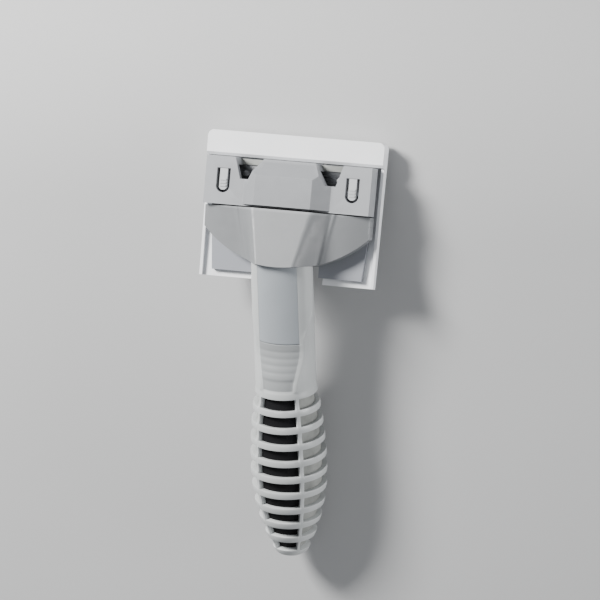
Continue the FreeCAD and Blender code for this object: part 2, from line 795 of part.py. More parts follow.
handle_pieces = make_shells() + [
    make_core(),
    make_side_grip("side_grip_left", -1),
    make_side_grip("side_grip_right", 1),
    make_screws("handle_screws", HANDLE_SCREW_PLACES, "handle_screw_seat", "handle_screw_top",
                "screw_head_height"),
]
head_pieces = [
    make_guard(),
    make_head_base(),
    make_pins(),
    make_blade(),
    make_clamp_bar(),
    make_pressure_strip(),
    make_latch("latch_left", -1),
    make_latch("latch_right", 1),
    make_cover(),
    make_screws("head_screws", HEAD_SCREW_PLACES, "head_screw_seat", "head_screw_top", "flat_head_height"),
]
for piece in handle_pieces:
    piece.Placement = handle_frame
for piece in head_pieces:
    piece.Placement = head_frame * piece.Placement
doc.recompute()

# ---- checks and files -----------------------------------------------------------------------

for item in doc.Objects:
    if "Invalid" in item.State or "Error" in item.State:
        raise RuntimeError(f"{item.Label} failed")
os.makedirs("parts", exist_ok=True)
whole = FreeCAD.BoundBox()
for piece in handle_pieces + head_pieces:
    if piece.Shape.isNull() or not piece.Shape.isValid():
        raise RuntimeError(f"{piece.Label} has no valid shape")
    piece.Shape.exportStep(f"parts/{piece.Label}.step")
    whole.add(piece.Shape.BoundBox)
    print(piece.Label, len(piece.Shape.Solids), round(piece.Shape.Volume, 1))
print("box", whole)
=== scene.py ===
import json
import math

import bmesh
import bpy
from mathutils import Matrix, Vector


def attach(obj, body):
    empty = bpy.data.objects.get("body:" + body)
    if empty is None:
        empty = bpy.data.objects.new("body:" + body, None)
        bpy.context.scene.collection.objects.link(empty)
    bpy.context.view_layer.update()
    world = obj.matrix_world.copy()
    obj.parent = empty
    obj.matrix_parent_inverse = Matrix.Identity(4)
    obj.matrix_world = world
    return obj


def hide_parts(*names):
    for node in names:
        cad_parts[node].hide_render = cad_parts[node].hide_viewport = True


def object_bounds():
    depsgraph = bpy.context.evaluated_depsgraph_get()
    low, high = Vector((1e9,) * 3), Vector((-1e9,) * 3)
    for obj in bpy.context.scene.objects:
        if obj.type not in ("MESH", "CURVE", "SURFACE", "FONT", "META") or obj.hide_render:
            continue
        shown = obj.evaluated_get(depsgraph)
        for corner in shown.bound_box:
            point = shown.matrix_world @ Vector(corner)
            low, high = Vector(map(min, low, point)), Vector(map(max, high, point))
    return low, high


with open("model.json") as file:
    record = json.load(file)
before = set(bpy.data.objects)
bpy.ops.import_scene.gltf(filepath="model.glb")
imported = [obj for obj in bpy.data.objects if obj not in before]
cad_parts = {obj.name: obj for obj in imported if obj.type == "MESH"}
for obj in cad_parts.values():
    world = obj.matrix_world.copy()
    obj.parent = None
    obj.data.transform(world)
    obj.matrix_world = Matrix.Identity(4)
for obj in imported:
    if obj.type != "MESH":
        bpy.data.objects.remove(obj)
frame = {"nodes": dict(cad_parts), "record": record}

CAD_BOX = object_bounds()
MM = 0.001

# ---- driving sizes, in millimetres and degrees ---------------------------------------------------
#
# They are the CAD model's, except that the skins keep a hair inside its box: the butt by 0.01, the
# barrel by 0.02 and the cover's skirt by 0.1. The neck's skin ends 2 sooner, under the cover. The
# windows and the panel are given as half angles, which come close to the CAD's straight cuts.

HANDLE_END = (-104.964, 14.425)     # y and z of the grip's butt, on its axis
HANDLE_RISE = 6.0
HEAD_END = (104.97, -0.52)          # y and z of the blade end, where the head's depths start
HEAD_TILT = 17.0

WIDEST_RADIUS, WIDEST_AT = 18.88, 47.0
LOWER_CURVE, UPPER_CURVE = 100.0, 240.0         # radii of the barrel's two long curves
BUTT_START, BUTT_FLAT, BUTT_ROUND = 3.6, 4.5, 5.5
BARREL_END, NECK_START, NECK_END = 90.0, 112.0, 157.0
NECK_HALF_WIDTH, NECK_HALF_DEPTH, NECK_SIDE_ROUND = 15.4, 10.5, 8.0
WALL = 2.6
SLOT_COUNT, FIRST_SLOT, SLOT_PITCH, SLOT_WIDTH = 10, 7.0, 8.58, 5.4
FRONT_WINDOW, SIDE_WINDOW = 35.4, 49.0          # about the front and the back, and about each side
PANEL_START, PANEL_HALF_ANGLE = 114.2, 31.0

COVER_START, COVER_END, COVER_SIDE_END, COVER_HALF_WIDTH = 38.6, 66.6, 49.0, 42.2
COVER_BOTTOM = 4.35
RIDGE_HALF_BASE, RIDGE_HALF_TOP, RIDGE_FRONT = 25.0, 15.0, 21.5
LIP_HALF_BASE, LIP_HALF_TOP, LIP_FRONT = 18.5, 9.0, 26.2
WING_TOP, WING_EDGE, LIP_SHOULDER, LIP_EDGE = 14.5, 11.0, 12.0, 7.0

# ---- sizes that only the looks need, in millimetres and degrees ----------------------------------

WELD = 0.00002                                  # points nearer than this are joined, in metres
SMOOTH_UNDER, COVER_SMOOTH_UNDER = 35, 50       # edges that turn by less are shaded smooth
ROUND_SEGMENTS, COVER_ROUND_SEGMENTS = 3, 4

# Grip. The surface falls from the middle of each rib to the middle of each slot.
RIB_CROWN, RIB_CROWN_FADE = 0.45, 2
BUTT_STEPS, BARREL_STEP, NECK_STEP, SHELL_COLUMN = 8, 0.95, 0.65, 2.6
SPINE_COLUMNS = 8                               # the spines' faces go this far past the windows
SHELL_EDGE_ROUND, SHELL_ROUND_OVER = 0.7, 50

# Recesses of the screws in the back of the handle.
SCREWS_AT = (101.0, 128.0, 148.0)
SCREW_HOLE_RADIUS, SCREW_HOLE_TOP, SCREW_HOLE_SIDES = 2.9, -6.4, 40

# Relief in the front of the neck: a shallow band, a groove at its end, then fine rings.
BAND_DEPTH, BAND_START, BAND_RAMP, BAND_END_RAMP = 0.45, 89.0, 1.5, 0.8
RING_STEP, RING_STEP_DEPTH, RING_STEP_REACH = 96.3, 0.3, 0.55
FINE_RINGS, FINE_RING_DEPTH, FINE_RING_PITCH = (98.4, 112.0), 0.2, 3.4
RINGS_HALF_ANGLE, RINGS_RAMP = 32, 3
# A patch over the front of the neck, rougher and darker: its rougher grain is a finish, its darker
# colour is painted shade.
SHADE_START, SHADE_HALF_ANGLE = 91.3, 31.0    # painted shade over all three

# Raised line beside the panel, which flares out up the neck.
LINE_ANGLE, LINE_FLARE, LINE_FLARE_AT, LINE_FLARE_LENGTH = 37.5, 42.0, 116, 16
LINE_HEIGHT, LINE_REACH = 0.35, 4.0
RELIEF_END, RELIEF_RAMP = 151.0, 10             # where the rings and the line have died away

PANEL_GAP, PANEL_GAP_ANGLE, PANEL_THICKNESS, PANEL_EDGE_ROUND = 0.2, 0.5, 1.5, 0.35
PANEL_STEP, PANEL_COLUMN = 0.8, 2.2

COVER_WALL, COVER_EDGE_ROUND, COVER_ROUND_OVER = 1.6, 1.1, 38
WING_CROWN, FOOT_BEAD, FOOT_BEAD_REACH = 0.7, 0.7, 0.9
LIP_MARGIN, LIP_GAP, LIP_LEAST_DROP = 0.6, 0.3, 0.8
WING_STEP, SLOPE_STEP, RIDGE_STEP, COVER_ROW = 0.025, 0.05, 0.08, 0.03     # shares of a length
BEYOND, COVER_ROUNDS = 1, 12

# Rounded edges on the pieces that are shown as the CAD made them.
EDGE_ROUNDS = {
    "clamp_bar": 0.6,
    "latch_left": 0.25,
    "latch_right": 0.25,
    "blade_guard": 0.35,
    "head_base": 0.3,
}
EDGE_ROUND_OVER = 40


def handle_to_row():
    place = Matrix.Translation((0, HANDLE_END[0] * MM, HANDLE_END[1] * MM))
    return place @ Matrix.Rotation(math.radians(HANDLE_RISE), 4, "X")


def head_to_row():
    place = Matrix.Translation((0, HEAD_END[0] * MM, HEAD_END[1] * MM))
    return place @ Matrix.Rotation(math.radians(-HEAD_TILT), 4, "X")


# ---- meshes --------------------------------------------------------------------------------------

def in_row(points, to_row):
    """Points in millimetres in a frame of their own, moved into the row frame and metres."""
    return [tuple(to_row @ (Vector(point) * MM)) for point in points]


def new_object(name, points, faces):
    mesh = bpy.data.meshes.new(name)
    mesh.from_pydata(points, [], faces)
    item = bpy.data.objects.new(name, mesh)
    bpy.context.scene.collection.objects.link(item)
    return item


def new_skin(name, points, faces, zones, slot, node):
    """A skin on the tool's body that stands in for a CAD node. Its faces look outwards.
    zones gives each face's material index, 0 for the slot's own material."""
    skin = new_object(name, points, faces)
    for polygon, zone in zip(skin.data.polygons, zones):
        polygon.material_index = zone
    clean = bmesh.new()
    clean.from_mesh(skin.data)
    bmesh.ops.remove_doubles(clean, verts=clean.verts, dist=WELD)
    clean.to_mesh(skin.data)
    clean.free()
    skin.data.materials.append(materials[slot])
    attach(skin, "tool")
    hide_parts(node)
    return skin


def smooth(skin, angle):
    for polygon in skin.data.polygons:
        polygon.use_smooth = True
    skin.data.set_sharp_from_angle(angle=math.radians(angle))


def add_wall(skin, thickness):
    modifier = skin.modifiers.new("Wall", "SOLIDIFY")
    modifier.thickness = thickness * MM
    modifier.offset = -1.0
    modifier.use_even_offset = True


def add_bevel(item, width, segments, angle):
    modifier = item.modifiers.new("Edges", "BEVEL")
    modifier.width = width * MM
    modifier.segments = segments
    modifier.limit_method = "ANGLE"
    modifier.angle_limit = math.radians(angle)
    modifier.use_clamp_overlap = True
    modifier.harden_normals = False


def mix(first, second, share):
    return first + (second - first) * share


def smoothstep(value):
    value = min(max(value, 0.0), 1.0)
    return value * value * (3 - 2 * value)


def bell(offset, reach):
    """1 at no offset, dying away over a few reaches to either side."""
    return math.exp(-(offset / reach) ** 2)


def spaced(start, end, step):
    """Evenly spaced values from start to end, no further apart than step. Taking off a millionth
    keeps rounding errors from adding a value."""
    count = max(1, math.ceil((end - start) / step - 1e-6))
    return [start + (end - start) * index / count for index in range(count + 1)]


def through(stops, step):
    """Values that pass through every stop, no further apart than step."""
    values = [stops[0]]
    for start, end in zip(stops, stops[1:]):
        values += spaced(start, end, step)[1:]
    return values


# ---- form of the handle --------------------------------------------------------------------------
#
# Its own frame has the axis along +Y from the butt. Angles run round the axis, with 0 to the right
# and 90 to the front. The neck is an oval of two flat arcs, front and back, and two tight ones at
# the sides.

SIDE_CENTRE = NECK_HALF_WIDTH - NECK_SIDE_ROUND
FACE_RISE = NECK_HALF_DEPTH - NECK_SIDE_ROUND
FACE_CENTRE = (SIDE_CENTRE ** 2 - FACE_RISE ** 2) / (2 * FACE_RISE)
FACE_RADIUS = NECK_HALF_DEPTH + FACE_CENTRE
ARCS_MEET = math.atan2(FACE_CENTRE, SIDE_CENTRE)


def from_front(degrees):
    """Angle between a direction round the axis and the front, to either side."""
    return abs((degrees - 90 + 180) % 360 - 180)


def barrel_radius(along):
    curve = LOWER_CURVE if along <= WIDEST_AT else UPPER_CURVE
    return math.sqrt(curve ** 2 - (along - WIDEST_AT) ** 2) - curve + WIDEST_RADIUS


def neck_section(angle):
    """The point of the neck's oval whose normal has this angle."""
    across, up = math.cos(angle), math.sin(angle)
    if abs(up) < math.sin(ARCS_MEET):
        return math.copysign(SIDE_CENTRE, across) + NECK_SIDE_ROUND * across, NECK_SIDE_ROUND * up
    return FACE_RADIUS * across, FACE_RADIUS * up - math.copysign(FACE_CENTRE, up)


def butt_rows():
    """(distance along the axis, radius) of the rings of the butt's flat end and rounded edge."""
    start_radius = barrel_radius(BUTT_START)
    chord = Vector((start_radius - BUTT_FLAT, BUTT_START))
    reach = math.sqrt(BUTT_ROUND ** 2 - ((start_radius - BUTT_FLAT) ** 2 + BUTT_START ** 2) / 4)
    middle = Vector(((start_radius + BUTT_FLAT) / 2, BUTT_START / 2))
    centre = middle + Vector((-chord.y, chord.x)).normalized() * reach
    first = math.atan2(-centre.y, BUTT_FLAT - centre.x)
    last = math.atan2(BUTT_START - centre.y, start_radius - centre.x)
    rows = [(0.0, 0.0), (0.0, BUTT_FLAT / 2), (0.0, BUTT_FLAT)]
    for step in range(1, BUTT_STEPS):
        turn = mix(first, last, step / BUTT_STEPS)
        along, radius = BUTT_ROUND * math.sin(turn), BUTT_ROUND * math.cos(turn)
        rows.append((centre.y + along, centre.x + radius))
    return rows


def handle_rows():
    """(distance along the axis, radius) of every ring of the handle. The neck's have no radius."""
    stops = [BUTT_START]
    for index in range(SLOT_COUNT):
        slot_middle = FIRST_SLOT + index * SLOT_PITCH
        stops += [slot_middle - SLOT_WIDTH / 2, slot_middle + SLOT_WIDTH / 2]
    stops.append(BARREL_END)
    rows = butt_rows()
    rows += [(along, barrel_radius(along)) for along in through(stops, BARREL_STEP)]
    neck = through([BARREL_END, PANEL_START, NECK_END], NECK_STEP)
    return rows + [(along, None) for along in neck[1:]]


def slot_at(along):
    """How far inside a slot a distance along the axis is: 0 at a rib's middle, 1 at a slot's."""
    phase = (along - FIRST_SLOT) / SLOT_PITCH
    if phase < -0.5 or phase > SLOT_COUNT - 0.5:
        return 0.0
    return 0.5 + 0.5 * math.cos(2 * math.pi * phase)


def ring_groove(along):
    """Depth of the band and the rings in the front of the neck."""
    band = BAND_DEPTH * smoothstep((RING_STEP - along) / BAND_END_RAMP)
    band *= smoothstep((along - BAND_START) / BAND_RAMP)
    groove = RING_STEP_DEPTH * bell(along - RING_STEP, RING_STEP_REACH)
    first, last = FINE_RINGS
    fine = 0.0
    if first < along < last:
        wave = 0.5 - 0.5 * math.cos(2 * math.pi * (along - first) / FINE_RING_PITCH)
        fine = FINE_RING_DEPTH * wave ** 3
    return fine + groove + band


def neck_relief(along, off_front):
    """Height of the raised line less the depth of the rings, at an angle from the front."""
    line_at = LINE_ANGLE + LINE_FLARE * smoothstep((along - LINE_FLARE_AT) / LINE_FLARE_LENGTH)
    line = LINE_HEIGHT * bell(off_front - line_at, LINE_REACH)
    rings = ring_groove(along) * smoothstep((RINGS_HALF_ANGLE - off_front) / RINGS_RAMP)
    return (line - rings) * smoothstep((RELIEF_END - along) / RELIEF_RAMP)


def outer_point(along, radius, degrees):
    """A point of the outer form in the handle's frame."""
    angle = math.radians(degrees)
    if radius is None:
        share = smoothstep((along - BARREL_END) / (NECK_START - BARREL_END))
        round_radius = barrel_radius(BARREL_END)
        oval = neck_section(angle)
        across = (1 - share) * round_radius * math.cos(angle) + share * oval[0]
        up = (1 - share) * round_radius * math.sin(angle) + share * oval[1]
        lift = neck_relief(along, from_front(degrees))
    else:
        across, up = radius * math.cos(angle), radius * math.sin(angle)
        lift = 0.0
        if along > BUTT_START:
            lift = -RIB_CROWN * slot_at(along) * smoothstep((along - BUTT_START) / RIB_CROWN_FADE)
    return (across + lift * math.cos(angle), along, up + lift * math.sin(angle))


def in_window(along, degrees):
    """Whether a place on the handle's form is open: a grip window, or the thumb panel's seat."""
    off_front = from_front(degrees)
    if along > PANEL_START and off_front < PANEL_HALF_ANGLE:
        return True
    phase = (along - FIRST_SLOT) / SLOT_PITCH
    index = round(phase)
    if not 0 <= index < SLOT_COUNT or abs(phase - index) * SLOT_PITCH > SLOT_WIDTH / 2:
        return False
    near_front_or_back = min(off_front, 180 - off_front) < FRONT_WINDOW
    near_side = abs(off_front - 90) < SIDE_WINDOW
    return near_front_or_back or near_side


# ---- pieces of the handle ------------------------------------------------------------------------

def handle_patch(name, rows, angles, is_closed, slot, node):
    """A curved sheet of the handle's outer form, with faces only where it is closed. Zone 1 is the
    patch of painted shade on the neck's front."""
    points = [outer_point(along, radius, degrees) for along, radius in rows for degrees in angles]
    width = len(angles)
    faces, zones = [], []
    for row in range(len(rows) - 1):
        along = (rows[row][0] + rows[row + 1][0]) / 2
        for column in range(width - 1):
            degrees = (angles[column] + angles[column + 1]) / 2
            if not is_closed(along, degrees):
                continue
            first = row * width + column
            faces.append((first, first + width, first + width + 1, first + 1))
            shaded = SHADE_START < along < PANEL_START and from_front(degrees) < SHADE_HALF_ANGLE
            zones.append(1 if shaded else 0)
    return new_skin(name, in_row(points, handle_to_row()), faces, zones, slot, node)


def make_hole_cutter():
    """Hidden posts that cut the screw recesses into the back of the handle."""
    points, faces = [], []
    turns = [2 * math.pi * side / SCREW_HOLE_SIDES for side in range(SCREW_HOLE_SIDES)]
    for screw_at in SCREWS_AT:
        first = len(points)
        for height in (-WIDEST_RADIUS, SCREW_HOLE_TOP):
            for turn in turns:
                across = SCREW_HOLE_RADIUS * math.cos(turn)
                along = screw_at + SCREW_HOLE_RADIUS * math.sin(turn)
                points.append((across, along, height))
        foot = list(range(first, first + SCREW_HOLE_SIDES))
        top = [index + SCREW_HOLE_SIDES for index in foot]
        faces += [tuple(reversed(foot)), tuple(top)]
        for side in range(SCREW_HOLE_SIDES):
            faces.append((foot[side - 1], foot[side], top[side], top[side - 1]))
    cutter = new_object("screw_hole_cutter", in_row(points, handle_to_row()), faces)
    cutter.hide_render = True
    return cutter


def make_shell(name, first_degrees, node, cutter=None):
    """Half of the handle's shell, from one parting line round to the other."""
    spine_start, spine_end = FRONT_WINDOW, FRONT_WINDOW + SPINE_COLUMNS
    stops = [0.0, 90 - spine_end, 90 - spine_start, 90 + spine_start, 90 + spine_end, 180.0]
    angles = [first_degrees + turn for turn in through(stops, SHELL_COLUMN)]
    skin = handle_patch(name, handle_rows(), angles,
                        lambda along, degrees: not in_window(along, degrees),
                        "shell_plastic", node)
    add_wall(skin, WALL)
    if cutter:
        holes = skin.modifiers.new("Screw holes", "BOOLEAN")
        holes.operation = "DIFFERENCE"
        holes.object = cutter
    add_bevel(skin, SHELL_EDGE_ROUND, ROUND_SEGMENTS, SHELL_ROUND_OVER)
    smooth(skin, SMOOTH_UNDER)
    return skin


def make_thumb_panel():
    """The smooth panel on the front of the neck, with a hair's gap to the shell round it."""
    half_angle = PANEL_HALF_ANGLE - PANEL_GAP_ANGLE
    rows = [(along, None) for along in through([PANEL_START + PANEL_GAP, NECK_END], PANEL_STEP)]
    angles = through([90 - half_angle, 90 + half_angle], PANEL_COLUMN)
    skin = handle_patch("thumb_panel_skin", rows, angles, lambda along, degrees: True,
                        "panel_plastic", "thumb_panel")
    add_wall(skin, PANEL_THICKNESS)
    add_bevel(skin, PANEL_EDGE_ROUND, ROUND_SEGMENTS, SHELL_ROUND_OVER)
    smooth(skin, SMOOTH_UNDER)


# ---- shoulder cover ------------------------------------------------------------------------------
#
# In the head's frame depths run back from the blade end, along -Y. The cover's section changes
# evenly from its front edge to one just beyond its curved back edge.

def cover_reach(across):
    """Depth of the cover's curved back edge at a distance from the middle."""
    drop = COVER_END - COVER_SIDE_END
    bend = (COVER_HALF_WIDTH ** 2 + drop ** 2) / (2 * drop)
    return COVER_END - bend + math.sqrt(bend ** 2 - across ** 2)


def cover_point(zone, place, depth_share):
    """(across, depth, height) on the right half of the cover, at a place from 0 to 1 in a zone:
    wing, slope or ridge. The zones' edges depend on the depth, and the depth on the distance
    across, so both are left to settle over a few rounds. The slope is part straight and part
    S-shaped, and a fine bead runs along its foot."""
    across = COVER_HALF_WIDTH
    for _ in range(COVER_ROUNDS):
        depth = mix(COVER_START, cover_reach(across), depth_share)
        share = (depth - COVER_START) / (COVER_END + BEYOND - COVER_START)
        foot = mix(RIDGE_HALF_BASE, LIP_HALF_BASE, share)
        crest = mix(RIDGE_HALF_TOP, LIP_HALF_TOP, share)
        edges = {"wing": (COVER_HALF_WIDTH, foot), "slope": (foot, crest), "ridge": (crest, 0.0)}
        across = mix(*edges[zone], place)
    inner, outer = mix(WING_TOP, LIP_SHOULDER, share), mix(WING_EDGE, LIP_EDGE, share)
    top = mix(RIDGE_FRONT, LIP_FRONT, share)
    if zone == "wing":
        height = mix(outer, inner, place) + WING_CROWN * math.sin(math.pi * place)
    elif zone == "slope":
        height = mix(inner, top, (place + 2 * smoothstep(place)) / 3)
    else:
        height = top
    height += FOOT_BEAD * bell(across - foot, FOOT_BEAD_REACH)
    return across, depth, height


def neck_top(across, depth):
    """Height of the neck's upper surface in the head's frame."""
    across = abs(across)
    if across < SIDE_CENTRE + NECK_SIDE_ROUND * math.cos(ARCS_MEET):
        up = math.sqrt(FACE_RADIUS ** 2 - across ** 2) - FACE_CENTRE
    else:
        up = math.sqrt(max(0.0, NECK_SIDE_ROUND ** 2 - (across - SIDE_CENTRE) ** 2))
    slope = math.radians(HEAD_TILT + HANDLE_RISE)
    end = head_to_row().inverted() @ handle_to_row() @ Vector((0, NECK_END * MM, 0)) / MM
    return end.z - (depth + end.y) * math.tan(slope) + up / math.cos(slope)


def skirt_foot(across, depth, height):
    """Height of the skirt's lower edge: just above the neck at the lip, else the cover's foot."""
    foot = COVER_BOTTOM
    if abs(across) < NECK_HALF_WIDTH + LIP_MARGIN and depth > COVER_SIDE_END:
        foot = max(COVER_BOTTOM, neck_top(across, depth) + LIP_GAP)
    return min(foot, height - LIP_LEAST_DROP)


def make_cover():
    """The shoulder: a ridge with two wings, a curved lip over the neck and a skirt all round."""
    half = [("wing", place) for place in spaced(0.0, 1.0, WING_STEP)]
    half += [("slope", place) for place in spaced(0.0, 1.0, SLOPE_STEP)[1:]]
    half += [("ridge", place) for place in spaced(0.0, 1.0, RIDGE_STEP)[1:]]
    columns = [(1, *place) for place in half] + [(-1, *place) for place in half[-2::-1]]
    shares = spaced(0.0, 1.0, COVER_ROW)
    points = []
    for share in shares:
        for side, zone, place in columns:
            across, depth, height = cover_point(zone, place, share)
            points.append((side * across, -depth, height))
    width, count = len(columns), len(shares)
    faces = []
    for row in range(count - 1):
        for column in range(width - 1):
            first = row * width + column
            faces.append((first, first + 1, first + width + 1, first + width))
    rim = list(range(width))
    rim += [row * width + width - 1 for row in range(1, count)]
    rim += [(count - 1) * width + column for column in range(width - 2, -1, -1)]
    rim += [row * width for row in range(count - 2, 0, -1)]
    feet = list(range(len(points), len(points) + len(rim)))
    for index in rim:
        across, along, height = points[index]
        points.append((across, along, skirt_foot(across, -along, height)))
    for index in range(len(rim)):
        following = (index + 1) % len(rim)
        faces.append((rim[following], rim[index], feet[index], feet[following]))
    skin = new_skin("shoulder_cover_skin", in_row(points, head_to_row()), faces, (),
                    "cover_plastic", "shoulder_cover")
    add_wall(skin, COVER_WALL)
    add_bevel(skin, COVER_EDGE_ROUND, COVER_ROUND_SEGMENTS, COVER_ROUND_OVER)
    smooth(skin, COVER_SMOOTH_UNDER)


# ---- materials -----------------------------------------------------------------------------------

# Linear base colours, a little deeper than the record's so that they hold up under studio light.
COLOURS = {
    "shell_plastic": (0.48, 0.495, 0.495),
    "panel_plastic": (0.33, 0.355, 0.38),
    # Darker than the shell: painted shade on the front of the neck.
    "ribbed_plastic": (0.30, 0.312, 0.318),
    "head_plastic": (0.225, 0.235, 0.26),
    "cover_plastic": (0.197, 0.204, 0.212),
    "clamp_plastic": (0.25, 0.257, 0.27),
    "latch_plastic": (0.42, 0.43, 0.44),
    "core_rubber": (0.006, 0.006, 0.007),
    "side_rubber": (0.25, 0.257, 0.245),
    "blade_steel": (0.3, 0.305, 0.315),
    "screw_steel": (0.4, 0.4, 0.41),
    "guard_plastic": (0.925, 0.945, 0.985),
    "floor_paper": (0.5, 0.503, 0.507),
}
SCUFFED_GUARD = (0.97, 0.98, 1.0)
GUARD_CLEARNESS, GUARD_IOR = 0.08, 1.49


class Shader:
    """A material's node tree with short ways to add and join nodes."""

    def __init__(self, name):
        self.material = bpy.data.materials.new(name)
        self.material.use_nodes = True
        self.nodes = self.material.node_tree.nodes
        self.links = self.material.node_tree.links
        self.surface = self.nodes["Principled BSDF"]
        self.colour = COLOURS[name]
        self.place = self.nodes.new("ShaderNodeTexCoord").outputs["Object"]

    def join(self, output, target):
        self.links.new(output, target)

    def noise(self, scale, detail, stretch=(1, 1, 1), warp=0.0):
        """Noise over the piece. The scale is in waves per metre."""
        mapping = self.nodes.new("ShaderNodeMapping")
        mapping.inputs["Scale"].default_value = stretch
        self.join(self.place, mapping.inputs["Vector"])
        texture = self.nodes.new("ShaderNodeTexNoise")
        texture.inputs["Scale"].default_value = scale
        texture.inputs["Detail"].default_value = detail
        texture.inputs["Distortion"].default_value = warp
        self.join(mapping.outputs["Vector"], texture.inputs["Vector"])
        return texture.outputs["Fac"]

    def cells(self, scale):
        """Distance to the nearest of scattered points, with a scale in points per metre."""
        texture = self.nodes.new("ShaderNodeTexVoronoi")
        texture.inputs["Scale"].default_value = scale
        self.join(self.place, texture.inputs["Vector"])
        return texture.outputs["Distance"]

    def spread(self, value, low, high, from_low=0.3, from_high=0.7):
        """A value stretched to run from low to high."""
        node = self.nodes.new("ShaderNodeMapRange")
        limits = {"From Min": from_low, "From Max": from_high, "To Min": low, "To Max": high}
        for name, number in limits.items():
            node.inputs[name].default_value = number
        self.join(value, node.inputs["Value"])
        return node.outputs["Result"]

    def tint(self, share, first, second):
        """A colour that runs from first to second, each a colour or an output."""
        node = self.nodes.new("ShaderNodeMix")
        node.data_type = "RGBA"
        self.join(share, node.inputs["Factor"])
        for socket, colour in ((node.inputs["A"], first), (node.inputs["B"], second)):
            if isinstance(colour, bpy.types.NodeSocket):
                self.join(colour, socket)
            else:
                socket.default_value = (*colour, 1)
        return node.outputs["Result"]

    def shade(self, factor):
        """The base colour made lighter or darker."""
        return tuple(min(1.0, channel * factor) for channel in self.colour)

    def blotched(self, scale, detail, darkest, lightest):
        """The base colour in soft blotches between a darker and a lighter shade of it."""
        blotches = self.spread(self.noise(scale, detail), 0, 1)
        return self.tint(blotches, self.shade(darkest), self.shade(lightest))

    def bump(self, height, strength, depth, under=None):
        """Fine relief. The depth is in metres."""
        node = self.nodes.new("ShaderNodeBump")
        node.inputs["Strength"].default_value = strength
        node.inputs["Distance"].default_value = depth
        self.join(height, node.inputs["Height"])
        if under is not None:
            self.join(under, node.inputs["Normal"])
        return node.outputs["Normal"]

    def edges(self):
        """1 on sharp outer edges, 0 elsewhere."""
        sharpness = self.nodes.new("ShaderNodeNewGeometry").outputs["Pointiness"]
        return self.spread(sharpness, 0.0, 1.0, from_low=0.52, from_high=0.6)

    def fixed(self, **values):
        """Values that are the same all over the surface, set on the shader itself."""
        for name, value in values.items():
            self.surface.inputs[name.replace("_", " ")].default_value = value

    def finish(self, colour, roughness, normal):
        self.join(colour, self.surface.inputs["Base Color"])
        self.join(roughness, self.surface.inputs["Roughness"])
        self.join(normal, self.surface.inputs["Normal"])
        return self.material


def moulded_plastic(slot, roughness, grain, wear_and_highlight=1.18):
    """Injection-moulded plastic: fine spark-eroded grain, faint flow marks and paler edges, partly
    rubbed wear and partly painted highlight. grain is the strength of the fine relief,
    wear_and_highlight how much lighter the edges are."""
    shader = Shader(slot)
    body = shader.blotched(38, 4.0, 0.95, 1.04)
    flow = shader.noise(60, 2.0, stretch=(1.0, 0.18, 1.0), warp=0.6)
    body = shader.tint(shader.spread(flow, 0, 0.35), body, shader.shade(1.09))
    # Paler edges: partly rubbed wear, partly a painted highlight along them.
    body = shader.tint(shader.edges(), body, shader.shade(wear_and_highlight))
    rubbed = shader.spread(shader.noise(220, 5.0), roughness - 0.07, roughness + 0.07)
    coarse = shader.bump(shader.noise(700, 2.0), strength=0.06, depth=0.0002)
    normal = shader.bump(shader.noise(3400, 2.0), strength=grain, depth=0.00012, under=coarse)
    return shader.finish(body, rubbed, normal)


def soft_rubber(slot, roughness, gloss, sheen):
    """Thermoplastic rubber: a close leathery stipple with dusty high spots."""
    shader = Shader(slot)
    body = shader.blotched(90, 5.0, 0.8, 1.35)
    dull = shader.spread(shader.noise(400, 3.0), roughness - 0.1, roughness + 0.08)
    normal = shader.bump(shader.cells(1500), strength=0.35, depth=0.00025)
    shader.fixed(Sheen_Weight=sheen, Sheen_Roughness=0.5, Specular_IOR_Level=gloss)
    return shader.finish(body, dull, normal)


def brushed_steel(slot, roughness, stretch):
    """Ground steel: fine lines one way, and blotches where it has been handled."""
    shader = Shader(slot)
    body = shader.blotched(120, 4.0, 0.86, 1.06)
    lines = shader.noise(2600, 3.0, stretch)
    sheen = shader.spread(lines, roughness - 0.1, roughness + 0.12)
    normal = shader.bump(lines, strength=0.2, depth=0.00006)
    shader.fixed(Metallic=1.0, Anisotropic=0.5)
    return shader.finish(body, sheen, normal)


def frosted_plastic(slot):
    """Translucent guard plastic: milky, slightly wavy and scuffed."""
    shader = Shader(slot)
    body = shader.blotched(45, 4.0, 0.95, 1.05)
    body = shader.tint(shader.edges(), body, SCUFFED_GUARD)
    streaks = shader.noise(900, 4.0, stretch=(1, 0.12, 1), warp=0.4)
    wavy = shader.bump(shader.noise(70, 2.0), strength=0.25, depth=0.0006)
    normal = shader.bump(shader.noise(2600, 2.0), strength=0.12, depth=0.0001, under=wavy)
    shader.fixed(Transmission_Weight=GUARD_CLEARNESS, IOR=GUARD_IOR)
    return shader.finish(body, shader.spread(streaks, 0.28, 0.5), normal)


def floor_paper():
    shader = Shader("floor_paper")
    body = shader.blotched(6, 3.0, 0.985, 1.01)
    dull = shader.spread(shader.noise(300, 3.0), 0.75, 0.85)
    normal = shader.bump(shader.noise(1200, 2.0), strength=0.05, depth=0.0001)
    return shader.finish(body, dull, normal)


